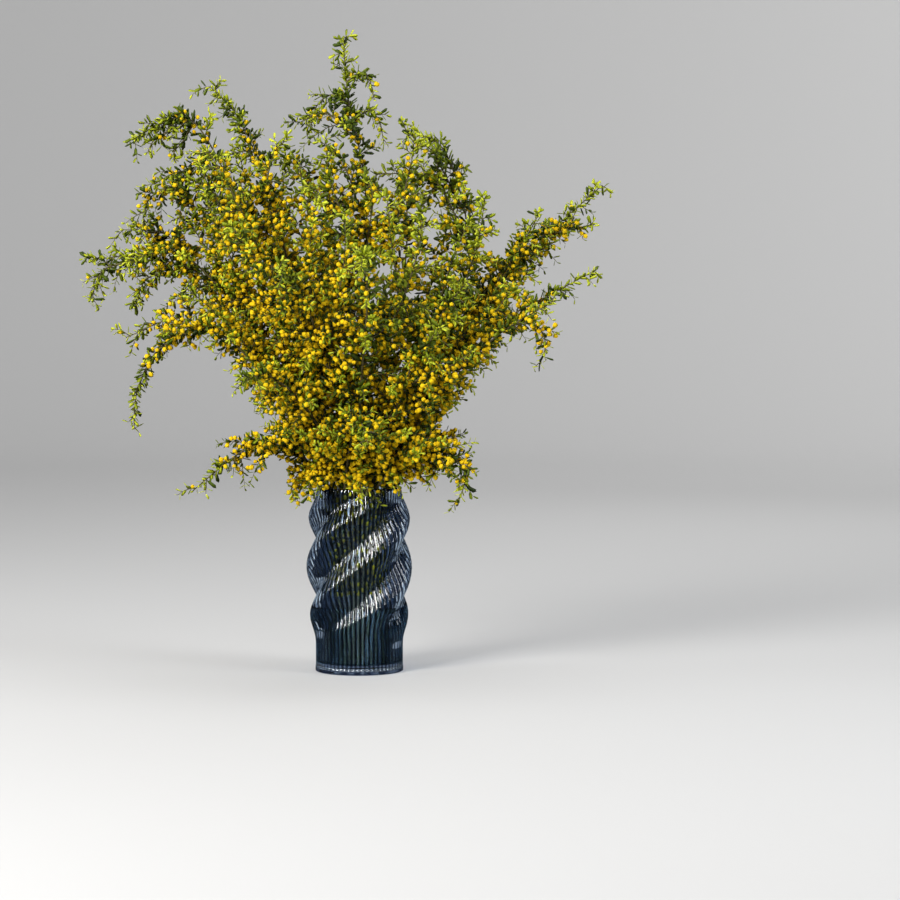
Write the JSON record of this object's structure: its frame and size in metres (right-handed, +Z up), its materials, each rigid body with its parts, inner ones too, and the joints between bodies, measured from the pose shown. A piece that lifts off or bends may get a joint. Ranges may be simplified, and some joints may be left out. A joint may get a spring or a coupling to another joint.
{
  "type": "golden wattle in vase",
  "caption": "Vaseful of cut golden wattle branches with round yellow flower heads and narrow leaves, in a blue fluted glass vase with winding swells and clear water.",
  "frame": {"origin": "centre of the vase's underside, where it stands", "axes": "+Z up through the mouth; -Y is the front that faces the viewer; +X is the viewer's right"},
  "size_m": [0.712, 0.4936, 0.8592],
  "materials": {
    "vase_glass": "clear deep blue glass, fire-polished, with moulded reeds",
    "water": "clear water",
    "flowering_wattle": "golden-yellow flower heads and green leaves on brown twigs",
    "leafy_wattle": "matte green leaves with yellow flower heads on brown twigs"
  },
  "bodies": {
    "root": {"vase": "vase_glass", "water": "water", "branch_spire": "leafy_wattle", "branch_upper_left": "flowering_wattle", "branch_upper_right": "leafy_wattle", "branch_far_right": "leafy_wattle", "branch_right": "flowering_wattle", "branch_right_low": "flowering_wattle", "branch_right_hanging": "flowering_wattle", "branch_left_rising": "flowering_wattle", "branch_far_left": "flowering_wattle", "branch_left_arching": "flowering_wattle", "branch_left_low": "flowering_wattle", "branch_front_left": "flowering_wattle", "branch_front_left_high": "flowering_wattle", "branch_front": "leafy_wattle", "branch_front_low": "flowering_wattle", "branch_front_right": "flowering_wattle", "branch_back_right": "flowering_wattle", "branch_back_right_high": "leafy_wattle", "branch_back_left_high": "flowering_wattle", "branch_back_left": "flowering_wattle"}
  },
  "joints": []
}
